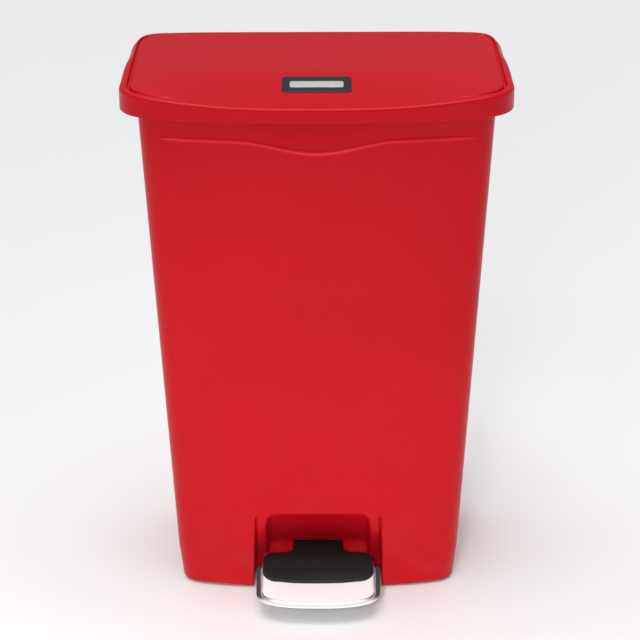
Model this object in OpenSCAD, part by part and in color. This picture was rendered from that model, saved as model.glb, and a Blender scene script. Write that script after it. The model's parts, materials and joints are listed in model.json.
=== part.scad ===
// Step-on waste bin with a rear-hinged lid, a front pedal and a push rod in the back.
// Millimetres. +Z is up, -Y is the front, and the origin is at the middle of the bin's
// footprint, on the floor. Closed lid and raised pedal are the rest position.

/* [Lid] */
// Width across the lid
lid_w = 572; // [566:1:576]
// Depth of the lid, front to back
lid_d = 353; // [350:1:356]
// Height of the closed bin
total_h = 826; // [822:1:830]
// Height of the lid's lower edge above the floor
skirt_z = 790; // [789:0.5:791]
// Thickness of the lid's skin
lid_skin = 4; // [3.5:0.5:4]
// How far the front of the lid bows out
lid_bow = 25; // [20:1:28]

/* [Body] */
// Width of the body at its rim
rim_w = 518; // [512:1:520]
// Width of the body where the foot band starts
knee_w = 442; // [436:1:446]
// Width of the body at the floor
foot_w = 428.6; // [424:0.2:434]
// Height of the body's rim
rim_z = 792; // [791:0.5:794]
// Height where the foot band starts
knee_z = 60; // [56:1:64]
// How far the front wall leans out from the floor to the rim
front_rake = 42; // [38:1:46]
// Thickness of the body's skin
wall = 4; // [3.5:0.5:4]
// Height of the ledge under the lid
ledge_z = 757.5; // [754:0.5:760]
// How far the ledge dips at the middle
ledge_dip = 18.5; // [12:0.5:24]

/* [Pedal] */
// How far the pedal stands out past the front of the lid
pedal_reach = 55.5; // [54:0.5:57]
// Width of the pedal plate
pedal_w = 192; // [184:1:192]
// Height of the pedal's rim
pedal_rim_z = 32; // [31:0.5:33]
// Thickness of the rubber tread
tread_t = 4; // [3:0.5:4.5]

/* [Linkage] */
// Length of the lid's crank between its hinge and its pin
crank_r = 18; // [17.5:0.1:18.5]
// How far the lid opens, in degrees
lid_open = 75; // [70:1:75]
// Width of the push rod
rod_w = 16; // [14:1:18]
// Thickness of the push rod
rod_t = 5; // [4:0.5:5]

/* [Hidden] */

red = [0.80, 0.10, 0.15];
black = [0.13, 0.13, 0.14];
grey = [0.45, 0.46, 0.48];
steel = [0.72, 0.73, 0.75];
white = [0.92, 0.92, 0.90];

eps = 0.02;         // thickness of a slice that a hull joins
reach = 1000;       // longer than anything it cuts
gap = 0.4;          // moulding clearance between pieces that only sit together
run = 0.05;         // running clearance on a shaft

total_d = lid_d + pedal_reach;
lid_back = total_d / 2;
lid_front = lid_back - lid_d;
pedal_front = -total_d / 2;

rim_front = lid_front + 14.35;
foot_front = rim_front + front_rake;
rim_back = lid_back - 14.25;
foot_back = rim_back - 3;
foot_z = 2;         // underside of the body's walls
toe = 5;            // how far the foot edge is rolled in
floor_z = 60;       // underside of the inner floor
rear_rim_z = 779;   // the rim is lower at the back, where the lid's skirt swings
ledge_step = 5;     // how deep the band above the ledge is set back
shelf_z = 735;      // the front skin thickens above this height
dip_w = 120;        // half the width of the dip in the ledge

niche_w = 98.5;     // half the width of the pedal niche
cavity_w = 80;      // half the width of its deep middle
niche_z = 130;      // where the niche's side strips leave the front wall
cavity_z = 137;     // top of the deep middle
strip_y = -34;      // foot of the side strips
cavity_y = -25;     // back wall of the deep middle
cavity_knee_z = 50; // where the slanting roof meets the back wall
slot_w = 38.5;      // half the width of the slot for the lever
slot_z = [26, 52];  // bottom and top of that slot
rear_cut = 22;               // how far ahead of the hinge axis the rim is lowered
hinge_hole_x = [-12, 12];    // screw holes of a hinge bracket, from its middle
hinge_hole_z = [748, 768];
screw_hole_r = 2;
pilot_r = 1.8;               // holes for the smaller screws

axle_y = -6;
axle_z = 38;
axle_r = 5;
axle_half = 56;
clip_x = 51.7;      // where the retaining clips sit on the axle
clip_t = 1.2;
rail_in = 30;       // inner face of a lever rail
rail_t = 4;
bracket_x = 44;     // inner face of an axle bracket
bracket_t = 4;
bush_r = 7.5;
bracket_hole_y = [axle_y - 4, axle_y + 12];
bracket_hole_x = bracket_x + 14;

hinge_y = lid_back - 14.25;
hinge_z = total_h - 26;
hinge_x = 170;
pin_r = 3.5;
hinge_bush_r = 5.5;
crank_angle = lid_open / 2;    // below level at rest, and as far above it when open
crank_y = hinge_y - crank_r * cos(crank_angle);
crank_z = hinge_z - crank_r * sin(crank_angle);
crank_pin_r = 3;
crank_hole_x = [-14, 14];      // screws of the crank's plate
crank_hole_y = hinge_y - 18;
rod_y = crank_y;
lever_pin_r = 3.5;
lever_pin_z = axle_z - 10;

pan_z = [6, 10];
pan_screw_len = 18;
foot_x = 178;
foot_stud_r = 4;
foot_y = [-46, 152];
boss_at = [[-150, -62], [150, -62], [-192, 60], [192, 60], [-150, 166], [150, 166]];

ring_z = [770, 773];
liner_half = 232;
liner_front = -108;
liner_back = 150;
liner_t = 2.5;
ring_rest_x = rim_w / 2 - 12;  // screws that hold the top ring
liner_foot_z = 68;
liner_knee_z = 152; // the front of the liner slants back below this height
lip_t = 3;          // thickness of the liner's lip
ring_rest_y = [-70, 120];
ring_rest_w = 16;

channel_half = 52;
channel_front = 153;
channel_top = 768;
channel_t = 2;
rod_gap_w = 20;     // half the width of the openings that the rod passes
guide_z = [150, 430, 735];
guide_h = 14;
flange_w = 12;
flange_t = 3;
cover_screw_x = channel_half + flange_w / 2;
cover_screw_z = [120, 400, 690];
cover_screw_r = 1.5;

damper_x = 34;
damper_y = 170;
damper_z = [500, 640];
damper_r = 9;
piston_r = 3;
arm_z = 690;
rod_z = [44, 770];  // ends of the push rod
foot_rivet_z = 49;
head_rivet_z = 764;

deck_z = total_h - lid_skin;   // underside of the lid's top at the back
lip_z = 811;                   // top edge of the lid at the middle of its front
panel_z = 800;                 // underside of the lid's inner panel
panel_t = 2.5;
knuckle_screw_y = [hinge_y - 27, hinge_y - 15];
panel_screw_x = [-200, 200];
panel_screw_y = [-60, 110];
buffer_at = [[-200, -116], [200, -116], [-252, 130], [252, 130]];
badge_w = 101;
badge_d = 56;
badge_t = 2.4;
badge_r = 8;
badge_sink = 1.2;              // how deep the badge sits in the lid
badge_back = 42;               // from the start of the slope to the badge's middle
inlay_w = 78;
inlay_d = 22;
inlay_r = 4;
inlay_sink = 1;
slope_y = -20;                 // where the lid's top starts to fall to the front
slope = atan((total_h - lip_z) / (slope_y - lid_front));

tread_z = 48.5;
plate_t = 2.5;
rim_t = 3;          // thickness of the plate's rolled rim
crease = 8;         // width of the flat rim around the plate
deck_half = 86;
deck_front = -149;
tread_half = 87.5;
tread_front = -151;
neck_half = 36;     // the plate narrows to a neck that enters the slot
neck_y = [-62, -17];
rivet_y = [-120, -80];

// Points of an arc, in the order of its angles
function arc(c, r, a, b, n = 6) =
    [for (i = [0:n]) let (angle = a + (b - a) * i / n) c + r * [cos(angle), sin(angle)]];

// Rounded plan with a bowed front; front and rear corners have their own radii
function plan(half, front, back, bow, rf, rb, n = 8) =
    let (tilt = atan(3 * bow / (half - rf)), xb = half - rf * (1 - sin(tilt)))
    let (cy = front + bow + rf * cos(tilt))
    concat([for (i = [1 - n:n - 1]) [xb * i / n, front + bow * pow(abs(i) / n, 3)]],
        arc([half - rf, cy], rf, tilt - 90, 0), arc([half - rb, back - rb], rb, 0, 90),
        arc([rb - half, back - rb], rb, 90, 180), arc([rf - half, cy], rf, 180, 270 - tilt));

function mix(a, b, t) = a + (b - a) * t;
function body_half(z) = z < knee_z ? mix(foot_w, knee_w, z / knee_z) / 2
    : mix(knee_w, rim_w, (z - knee_z) / (rim_z - knee_z)) / 2;
function front_at(z) = mix(foot_front, rim_front, z / rim_z);
function back_at(z) = mix(foot_back, rim_back, z / rim_z);
function body_plan(z, inset = 0, front_inset = 0) =
    plan(body_half(z) - inset, front_at(z) + inset + front_inset, back_at(z) - inset,
        mix(17, 22, z / rim_z), 32 - inset, 30 - inset);
function lid_plan(inset = 0) =
    plan(lid_w / 2 - inset, lid_front + inset, lid_back - inset, lid_bow, 60 - inset, 48 - inset);
function smooth(t) = t * t * (3 - 2 * t);

module slice(z, points) translate([0, 0, z]) linear_extrude(eps) polygon(points);
module prism(z0, z1, points) translate([0, 0, z0]) linear_extrude(z1 - z0) polygon(points);
module box(low, high) translate(low) cube(high - low);

// Round bars along X, Y and Z
module rod_x(x0, x1, y, z, r) translate([x0, y, z]) rotate([0, 90, 0]) cylinder(r = r, h = x1 - x0, $fn = 48);
module rod_y_bar(x, y, z, len, r) translate([x, y, z]) rotate([-90, 0, 0]) cylinder(r = r, h = len, $fn = 24);
module post(x, y, z0, z1, r) translate([x, y, z0]) cylinder(r = r, h = z1 - z0, $fn = 32);

// A bar along X right through everything
module bore_x(y, z, r) rod_x(-reach / 2, reach / 2, y, z, r);

// A profile in the Y-Z plane, drawn out across X between x0 and x1
module across(x0, x1) translate([x0, 0, 0]) rotate([90, 0, 90]) linear_extrude(x1 - x0) children();

module body_block(z0, z1, inset = 0, front_inset = 0) hull() {
    slice(z0, body_plan(z0, inset, front_inset));
    if (z0 < knee_z && z1 > knee_z) slice(knee_z, body_plan(knee_z, inset, front_inset));
    slice(z1 - eps, body_plan(z1 - eps, inset, front_inset));
}

// ---- Body ----

// Everything in front of the ledge and above it
module ledge_band() rotate([90, 0, 0]) linear_extrude(reach)
    polygon(concat([[-reach, rim_z + 1], [-reach, ledge_z]],
        [for (i = [-10:10]) [dip_w * i / 10, ledge_z - ledge_dip * (1 - smooth(abs(i) / 10))]],
        [[reach, ledge_z], [reach, rim_z + 1]]));

function strip_profile() = concat([[-reach, -reach], [-reach, niche_z]], [for (i = [10:-1:0])
    let (z = niche_z * i / 10) [strip_y + (front_at(niche_z) - strip_y) * smooth(z / niche_z), z]],
    [[strip_y, -reach]]);
function cavity_profile() = [[-reach, -reach], [-reach, cavity_z], [front_at(cavity_z), cavity_z],
    [cavity_y, cavity_knee_z], [cavity_y, -reach]];

module niche(margin = 0) {
    across(-niche_w - margin, niche_w + margin) translate([margin, margin]) polygon(strip_profile());
    across(-cavity_w - margin, cavity_w + margin) translate([margin, margin]) polygon(cavity_profile());
}

module body_shell() color(red) difference() {
    hull() {
        slice(foot_z, body_plan(foot_z, toe));
        slice(foot_z + toe, body_plan(foot_z + toe));
        slice(knee_z, body_plan(knee_z));
        slice(rim_z - eps, body_plan(rim_z - eps));
    }
    difference() {
        ledge_band();
        body_block(ledge_z - 60, rim_z + 2, -1, ledge_step + 1);
    }
    difference() {
        body_block(floor_z + wall, shelf_z, wall);
        niche(wall);
    }
    difference() {
        body_block(shelf_z - 1, rim_z + 2, wall + 0.3, wall);
        for (side = [-1, 1], y = ring_rest_y) translate([side * (rim_w / 2 - 8), y, ring_z[0]])
            box([-ring_rest_w / 2, 0, -12], [ring_rest_w / 2, ring_rest_w, 0]);
    }
    difference() {
        union() {
            body_block(foot_z + toe, floor_z, wall);
            body_block(-1, foot_z + toe + 1, wall + toe);
        }
        niche(wall);
        for (p = boss_at) post(p[0], p[1], pan_z[1], floor_z + 1, 7);
    }
    cover_screw_holes();
    niche();
    box([-slot_w, cavity_y - 1, slot_z[0]], [slot_w, cavity_y + wall + 1, slot_z[1]]);
    box([-channel_half + 4, channel_front + 4, floor_z - 1],
        [channel_half - 4, back_at(floor_z) - wall - 1, floor_z + wall + 1]);
    box([-reach, hinge_y - rear_cut, rear_rim_z], [reach, reach, rim_z + 3]);
    for (p = boss_at) post(p[0], p[1], foot_z, 26, screw_hole_r);
    for (side = [-1, 1]) hinge_screw_holes(side);
}
module hinge_screw_holes(side) for (dx = hinge_hole_x, z = hinge_hole_z)
    rod_y_bar(side * hinge_x + dx, hinge_y - 30, z, 60, screw_hole_r);

module base_pan() color(black) difference() {
    prism(pan_z[0], pan_z[1], body_plan(foot_z, wall + toe + gap));
    niche(wall + gap);
    for (p = boss_at) pan_hole(p[0], p[1], screw_hole_r);
    for (sx = [-1, 1], y = foot_y) pan_hole(sx * foot_x, y, foot_stud_r);
    for (sx = [-1, 1], y = bracket_hole_y) pan_hole(sx * bracket_hole_x, y, pilot_r);
}
module pan_hole(x, y, r) post(x, y, pan_z[0] - 1, pan_z[1] + 1, r);

module foot(sx, y) color(black) {
    translate([sx * foot_x, y, 0]) rotate_extrude($fn = 48)
        polygon([[0, 0], [15, 0], [17, 2], [18, pan_z[0]], [0, pan_z[0]]]);
    post(sx * foot_x, y, pan_z[0], pan_z[1], foot_stud_r);
}
module foot_front_left() foot(-1, foot_y[0]);
module foot_front_right() foot(1, foot_y[0]);
module foot_rear_left() foot(-1, foot_y[1]);
module foot_rear_right() foot(1, foot_y[1]);

// A pan-head screw that points up or down the Z axis
module screw_z(x, y, z, len, r, up = true) translate([x, y, z]) mirror([0, 0, up ? 0 : 1]) {
    cylinder(r = r, h = len, $fn = 24);
    difference() {
        translate([0, 0, -r * 1.1]) cylinder(r = r * 2, h = r * 1.1, $fn = 24);
        translate([-r, -r * 0.2, -r * 1.1 - 1]) cube([r * 2, r * 0.4, 1 + r * 0.5]);
    }
}
module screw_y(x, y, z, len, r, back = true)
    translate([x, y, z]) rotate([back ? -90 : 90, 0, 0]) screw_z(0, 0, 0, len, r);

module base_screws() color(steel) for (p = boss_at)
    screw_z(p[0], p[1], pan_z[0], pan_screw_len, screw_hole_r);

module top_ring() color(black) difference() {
    prism(ring_z[0], ring_z[1], body_plan(ring_z[0], wall + gap, wall));
    prism(ring_z[0] - 1, ring_z[1] + 1, plan(liner_half + 2, liner_front - 2, liner_back + 2, 15, 40, 40));
    box([-rod_gap_w, channel_front + 8, ring_z[0] - 1], [rod_gap_w, hinge_y + 20, ring_z[1] + 1]);
    for (side = [-1, 1], y = ring_rest_y)
        post(side * ring_rest_x, y + ring_rest_w / 2, ring_z[0] - 1, ring_z[1] + 1, pilot_r);
}
module ring_screws() color(steel) for (side = [-1, 1], y = ring_rest_y)
    screw_z(side * ring_rest_x, y + ring_rest_w / 2, ring_z[1], ring_z[1] - ring_z[0], pilot_r, false);

// The liner tapers from its lip down to its knee
function liner_plan(z, inset = 0) = let (down = (ring_z[0] - z) / (ring_z[0] - liner_knee_z))
    plan(liner_half - 28 * down - inset, liner_front + 22 * down + inset, liner_back - 3 * down - inset,
        14, 40 - inset, 40 - inset);
function liner_foot_plan(inset) = plan(200 - inset, -8 + inset, 146 - inset, 0.1, 30 - inset, 30 - inset);
module liner_block(inset = 0) hull() {
    slice(ring_z[1] + lip_t - (inset > 0 ? -eps : eps), liner_plan(ring_z[1], inset));
    slice(liner_knee_z, liner_plan(liner_knee_z, inset));
    slice(liner_foot_z + inset, liner_foot_plan(inset));
}
module rigid_liner() color(grey) difference() {
    union() {
        liner_block();
        prism(ring_z[1], ring_z[1] + lip_t, liner_plan(ring_z[1], -7));
    }
    liner_block(liner_t);
}

// What lies behind the rear wall's inner face, moved in by an inset
module behind_wall(inset, z0, z1) difference() {
    box([-reach / 2, 150, z0], [reach / 2, 230, z1]);
    body_block(20, rim_z, inset);
}
module channel_cover() color(black) difference() {
    union() {
        box([-channel_half, channel_front, floor_z + wall + 0.1], [channel_half, 200, channel_top]);
        intersection() {
            box([-channel_half - flange_w, 150, floor_z + wall + 0.1],
                [channel_half + flange_w, 200, channel_top]);
            behind_wall(wall + gap + flange_t, 40, channel_top + 10);
        }
    }
    box([-channel_half + channel_t, channel_front + channel_t, floor_z],
        [channel_half - channel_t, 210, channel_top - channel_t]);
    box([-rod_gap_w, channel_front + 8, channel_top - 5], [rod_gap_w, 210, channel_top + 1]);
    behind_wall(wall + gap, 20, channel_top + 20);
    cover_screw_holes();
}
module cover_screw_holes() for (side = [-1, 1], z = cover_screw_z)
    rod_y_bar(side * cover_screw_x, back_at(z) - wall - 10, z, 12.4, cover_screw_r);
module channel_screws() color(steel) for (side = [-1, 1], z = cover_screw_z)
    screw_y(side * cover_screw_x, back_at(z) - wall - gap - flange_t - 0.3, z, 5.5, cover_screw_r);

// A block on the rear wall with a window that the rod slides through
module rod_guide(z) color(white) difference() {
    box([-16, rod_y - rod_t / 2 - 5, z], [16, 200, z + guide_h]);
    rod_bar(z - 1, z + guide_h + 1, gap);
    behind_wall(wall + gap, z - 5, z + guide_h + 5);
}
module rod_guide_low() rod_guide(guide_z[0]);
module rod_guide_mid() rod_guide(guide_z[1]);
module rod_guide_high() rod_guide(guide_z[2]);

// ---- Pedal bearings ----

// The pieces on the right are drawn, and those on the left are their mirror images
module on_side(sx) mirror([sx < 0 ? 1 : 0, 0, 0]) children();
module axle_bracket(sx) color(steel) on_side(sx) difference() {
    union() {
        across(bracket_x, bracket_x + bracket_t) union() {
            polygon([[axle_y - 10, pan_z[1]], [axle_y + 18, pan_z[1]], [axle_y + 9, axle_z],
                [axle_y - 9, axle_z]]);
            translate([axle_y, axle_z]) circle(r = 9, $fn = 48);
        }
        box([bracket_x, axle_y - 10, pan_z[1]], [bracket_x + 22, axle_y + 18, pan_z[1] + 3]);
    }
    bore_x(axle_y, axle_z, axle_r);
    for (y = bracket_hole_y) post(bracket_hole_x, y, pan_z[0], pan_z[1] + 4, pilot_r);
}
module axle_bracket_left() axle_bracket(-1);
module axle_bracket_right() axle_bracket(1);
module bracket_screws() color(steel) for (sx = [-1, 1], y = bracket_hole_y)
    screw_z(sx * bracket_hole_x, y, pan_z[1] + 3, 7, pilot_r, false);

// A disc on the axle at one clip's place
module clip_disc(sx, t, r) rod_x(sx * clip_x - t / 2, sx * clip_x + t / 2, axle_y, axle_z, r);
module pedal_axle() color(steel) difference() {
    rod_x(-axle_half, axle_half, axle_y, axle_z, axle_r);
    for (sx = [-1, 1]) difference() {
        clip_disc(sx, clip_t + 0.3, axle_r + 1);
        clip_disc(sx, clip_t + 1, axle_r - 1);
    }
}
module axle_clip(sx) color(steel) difference() {
    clip_disc(sx, clip_t, axle_r + 3);
    clip_disc(sx, clip_t + 1, axle_r - 1);
    translate([sx * clip_x, axle_y, axle_z]) box([-1, -3, -12], [1, 3, 0]);
}
module axle_clip_left() axle_clip(-1);
module axle_clip_right() axle_clip(1);

// ---- Pedal ----

module pedal_lever() color(steel) difference() {
    union() {
        for (sx = [-1, 1]) on_side(sx) across(rail_in, rail_in + rail_t) union() {
            polygon([[-140, 42], [-140, 37], [-30, 30], [axle_y, axle_z - 10], [rod_y, lever_pin_z - 6],
                [rod_y, lever_pin_z + 6], [axle_y, axle_z + 10], [-16, 42]]);
            translate([axle_y, axle_z]) circle(r = 10, $fn = 48);
            translate([rod_y, lever_pin_z]) circle(r = 6, $fn = 48);
        }
        box([-rail_in, -140, 39], [rail_in, -18, 42]);
        box([-rail_in, 90, 27], [rail_in, 94, 37]);
    }
    bore_x(axle_y, axle_z, bush_r);
    bore_x(rod_y, lever_pin_z, lever_pin_r);
}
module lever_bush(sx) color(white) on_side(sx) difference() {
    union() {
        rod_x(rail_in, rail_in + rail_t, axle_y, axle_z, bush_r);
        rod_x(rail_in + rail_t, bracket_x - gap, axle_y, axle_z, bush_r + 1.5);
    }
    bore_x(axle_y, axle_z, axle_r + run);
}
module lever_bush_left() lever_bush(-1);
module lever_bush_right() lever_bush(1);
module lever_pin() color(steel) rod_x(-38, 38, rod_y, lever_pin_z, lever_pin_r);

function pedal_plan(inset = 0) =
    plan(pedal_w / 2 - inset, pedal_front + inset, -70 - inset, 14, 38 - inset, 14);
function deck_plan(inset = 0) = plan(deck_half - inset, deck_front + inset, -60 - inset, 6, 24, 8);

// The raised middle of the plate, moved down by the sheet's thickness for its inside
module plate_block(down) translate([0, 0, -down]) hull() {
    slice(pedal_rim_z, pedal_plan(crease + down / 2));
    slice(tread_z - tread_t - eps, deck_plan(down / 2));
}
module pedal_plate() color(steel) {
    difference() {
        union() {
            plate_block(0);
            prism(pedal_rim_z - rim_t, pedal_rim_z, pedal_plan());
        }
        plate_block(plate_t);
        prism(0, pedal_rim_z - plate_t + eps, pedal_plan(crease + plate_t / 2));
    }
    box([-neck_half, neck_y[0], tread_z - tread_t - plate_t], [neck_half, neck_y[1], tread_z - tread_t]);
}

// Right half of the tread's outline, from the middle of its front to the end of its neck
function tread_half_plan() = concat(
    [for (i = [0:8]) [(tread_half - 16) * i / 8, tread_front + 4 * pow(i / 8, 3)]],
    arc([tread_half - 16, tread_front + 20], 16, -75, 0), arc([tread_half - 14, -75], 14, 0, 80),
    arc([neck_half + 14, -47], 14, 265, 180), [[neck_half, neck_y[1] - 2]]);
function mirrored(points) = [for (i = [len(points) - 1:-1:0]) [-points[i][0], points[i][1]]];
module pedal_tread() color(black)
    prism(tread_z - tread_t, tread_z, concat(tread_half_plan(), mirrored(tread_half_plan())));
module pedal_rivets() color(steel) for (sx = [-1, 1], y = rivet_y)
    post(sx * 18, y, 37, 39, 4);

// ---- Push rod ----

// A stretch of the rod's bar, thicker all round by a margin
module rod_bar(z0, z1, margin = 0)
    translate([0, rod_y, 0])
        box([-rod_w / 2 - margin, -rod_t / 2 - margin, z0], [rod_w / 2 + margin, rod_t / 2 + margin, z1]);
module push_rod() color(steel) rod_bar(rod_z[0], rod_z[1]);
module rod_slot(y0, y1, z, r) {
    rod_x(-20, 20, y0, z, r);
    rod_x(-20, 20, y1, z, r);
    box([-20, y0, z - r], [20, y1, z + r]);
}
module rod_head() color(black) difference() {
    box([-11, rod_y - 10, rod_z[1] - 12], [11, rod_y + 6.3, crank_z + 8]);
    rod_bar(rod_z[1] - 13, rod_z[1]);
    box([-6, rod_y - 11, rod_z[1] + 4], [6, rod_y + 8, crank_z + 9]);
    rod_slot(hinge_y - crank_r - 0.3, crank_y + 0.3, crank_z, crank_pin_r + 0.5);
}
module rod_foot() color(black) difference() {
    box([-12, rod_y - 8, lever_pin_z - 8], [12, rod_y + 5.5, rod_z[0] + 16]);
    rod_bar(rod_z[0], rod_z[0] + 17);
    rod_slot(rod_y - 0.6, rod_y + 0.6, lever_pin_z, lever_pin_r + 0.08);
}

// Rivet heads on the front of the rod's two ends
module rod_rivets() color(steel) {
    rod_y_bar(0, rod_y - 9.2, foot_rivet_z, 1.2, 3.2);
    rod_y_bar(0, rod_y - 11.2, head_rivet_z, 1.2, 3.2);
}

// ---- Damper ----

module damper_cylinder() color(black) difference() {
    post(damper_x, damper_y, damper_z[0], damper_z[1], damper_r);
    post(damper_x, damper_y, damper_z[0] + 4, damper_z[1] + 1, damper_r - 2);
}
module damper_cap() color(white) difference() {
    post(damper_x, damper_y, damper_z[1], damper_z[1] + 5, damper_r);
    post(damper_x, damper_y, damper_z[1] - 1, damper_z[1] + 6, piston_r + run);
}
module damper_clamps() color(steel) for (z = [damper_z[0] + 15, damper_z[1] - 25]) difference() {
    box([damper_x - 13, damper_y - 1, z], [damper_x + 13, 200, z + 10]);
    post(damper_x, damper_y, z - 1, z + 11, damper_r);
    behind_wall(wall + gap, z - 5, z + 20);
}
module damper_piston() color(steel) {
    post(damper_x, damper_y, 560, arm_z, piston_r);
    post(damper_x, damper_y, 556, 566, damper_r - 2.4);
}
module damper_arm() color(steel)
    box([-rod_w / 2, rod_y - rod_t / 2 - 3, arm_z], [damper_x + 7, rod_y - rod_t / 2, arm_z + 8]);

// ---- Hinge ----

module hinge_bracket(sx) color(black) difference() {
    union() {
        box([sx * hinge_x - 20, hinge_y, 740], [sx * hinge_x + 20, hinge_y + 4, 784]);
        for (dx = [-14, 10]) {
            box([sx * hinge_x + dx, hinge_y - 4, 782], [sx * hinge_x + dx + 4, hinge_y + 4, hinge_z]);
            rod_x(sx * hinge_x + dx, sx * hinge_x + dx + 4, hinge_y, hinge_z, 7.5);
        }
    }
    bore_x(hinge_y, hinge_z, pin_r);
    body_block(600, rear_rim_z + 2);
    hinge_screw_holes(sx);
}
module hinge_bracket_left() hinge_bracket(-1);
module hinge_bracket_right() hinge_bracket(1);
module hinge_screws() color(steel) for (side = [-1, 1], dx = hinge_hole_x, z = hinge_hole_z)
    screw_y(side * hinge_x + dx, hinge_y + 4, z, 12, screw_hole_r, false);
module hinge_pin(sx) color(steel) rod_x(sx * hinge_x - 16, sx * hinge_x + 16, hinge_y, hinge_z, pin_r);
module hinge_pin_left() hinge_pin(-1);
module hinge_pin_right() hinge_pin(1);

// ---- Lid ----

module lid_block(down, side) hull() {
    slice(skirt_z - (down > 0 ? 1 : 0), lid_plan(side));
    slice(lip_z - down, lid_plan(side));
    slice(total_h - 6 - down, plan(lid_w / 2 - side, -60 + side, lid_back - side, 0.1, 20, 48 - side));
    slice(total_h - eps - down, plan(lid_w / 2 - 6 - side, slope_y, lid_back - 6 - side, 0.1, 20, 42 - side));
}
module lid_shell() color(red) {
    difference() {
        lid_skin_solid();
        lid_block(lid_skin, lid_skin);
    }
    difference() {
        intersection() {
            lid_block(1, 1);
            union() {
                for (p = buffer_at) post(p[0], p[1], panel_z, total_h, 7);
                for (x = panel_screw_x, y = panel_screw_y) post(x, y, panel_z + panel_t, total_h, 6);
            }
        }
        for (x = panel_screw_x, y = panel_screw_y) post(x, y, panel_z, panel_z + 12, screw_hole_r);
    }
}
module lid_skin_solid() difference() {
    lid_block(0, 0);
    intersection() {
        difference() {
            prism(total_h - 2.5, total_h + 1, lid_plan(15));
            prism(total_h - 3, total_h + 2, lid_plan(18.5));
        }
        for (side = [-1, 1]) translate([side * 260, 0, total_h])
            box([-30, slope_y - 20, -3], [30, lid_back - 30, 1]);
    }
    for (side = [-1, 1]) translate([side * hinge_x, 0, 0]) skirt_notch(24);
    skirt_notch(22);
    on_slope(-badge_sink) rounded(badge_w, badge_d, 5, badge_r);
}

// Where the back of the skirt is cut away so that the hinges and the rod's head clear it
module skirt_notch(half) box([-half, hinge_y + 2, skirt_z - 1], [half, lid_back + 1, hinge_z + 9]);

function panel_plan(inset) = plan(238 - inset, -116 + inset, 160 - inset, 16, 40 - inset, 40 - inset);
module lid_panel() color(grey) difference() {
    prism(panel_z, panel_z + 6, panel_plan(0));
    prism(panel_z + panel_t, panel_z + 7, panel_plan(panel_t));
    for (x = panel_screw_x, y = panel_screw_y) post(x, y, panel_z - 1, panel_z + 4, screw_hole_r);
}
module lid_screws() color(steel) {
    for (x = panel_screw_x, y = panel_screw_y) screw_z(x, y, panel_z, 12, screw_hole_r);
    for (x = crank_hole_x) screw_z(x, crank_hole_y, deck_z - 3, 3, pilot_r);
    for (side = [-1, 1], y = knuckle_screw_y) screw_z(side * hinge_x, y, deck_z - 4, 4, pilot_r);
}
module knuckle(sx) color(black) difference() {
    union() {
        box([sx * hinge_x - 9, hinge_y - 32, deck_z - 4], [sx * hinge_x + 9, hinge_y + 2, deck_z]);
        across(sx * hinge_x - 9, sx * hinge_x + 9) union() {
            translate([hinge_y, hinge_z]) circle(r = 7.5, $fn = 48);
            polygon([[hinge_y - 7.4, hinge_z], [hinge_y + 7.4, hinge_z], [hinge_y + 4.5, deck_z - 2],
                [hinge_y - 7, deck_z - 2]]);
        }
    }
    bore_x(hinge_y, hinge_z, hinge_bush_r);
    for (y = knuckle_screw_y) post(sx * hinge_x, y, deck_z - 5, deck_z + 1, pilot_r);
}
module knuckle_left() knuckle(-1);
module knuckle_right() knuckle(1);
module hinge_bush(sx) color(white) difference() {
    rod_x(sx * hinge_x - 9, sx * hinge_x + 9, hinge_y, hinge_z, hinge_bush_r);
    bore_x(hinge_y, hinge_z, pin_r + run);
}
module hinge_bush_left() hinge_bush(-1);
module hinge_bush_right() hinge_bush(1);
module lid_crank() color(steel) difference() {
    union() {
        box([-20, hinge_y - 24, deck_z - 3], [20, hinge_y + 4, deck_z]);
        across(-3, 3) union() {
            polygon([[crank_y - 6, crank_z], [crank_y - 8, deck_z - 2], [hinge_y + 2, deck_z - 2],
                [crank_y + 6, crank_z]]);
            translate([crank_y, crank_z]) circle(r = 6, $fn = 48);
        }
    }
    bore_x(crank_y, crank_z, crank_pin_r);
    for (x = crank_hole_x) post(x, crank_hole_y, deck_z - 4, deck_z + 1, pilot_r);
}
module crank_pin() color(steel) rod_x(-13, 13, crank_y, crank_z, crank_pin_r);

// On the sloping front of the lid's top, at the badge's middle
module on_slope(lift) translate([0, slope_y - badge_back, total_h - badge_back * tan(slope)])
    rotate([slope, 0, 0]) translate([0, 0, lift]) children();
module rounded(w, d, h, r) linear_extrude(h) union() {
    square([w - 2 * r, d], center = true);
    square([w, d - 2 * r], center = true);
    for (x = [-1, 1], y = [-1, 1]) translate([x * (w / 2 - r), y * (d / 2 - r)]) circle(r = r, $fn = 32);
}
module lid_badge() color(black) on_slope(-badge_sink) difference() {
    rounded(badge_w, badge_d, badge_t, badge_r);
    translate([0, 0, badge_t - inlay_sink]) rounded(inlay_w, inlay_d, 2, inlay_r);
}
module badge_inlay() color(white) on_slope(badge_t - badge_sink - inlay_sink)
    rounded(inlay_w, inlay_d, 0.7, inlay_r);

module buffer(at) color(black) post(at[0], at[1], rim_z + 0.3, panel_z, 6);
module buffer_front_left() buffer(buffer_at[0]);
module buffer_front_right() buffer(buffer_at[1]);
module buffer_rear_left() buffer(buffer_at[2]);
module buffer_rear_right() buffer(buffer_at[3]);

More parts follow.
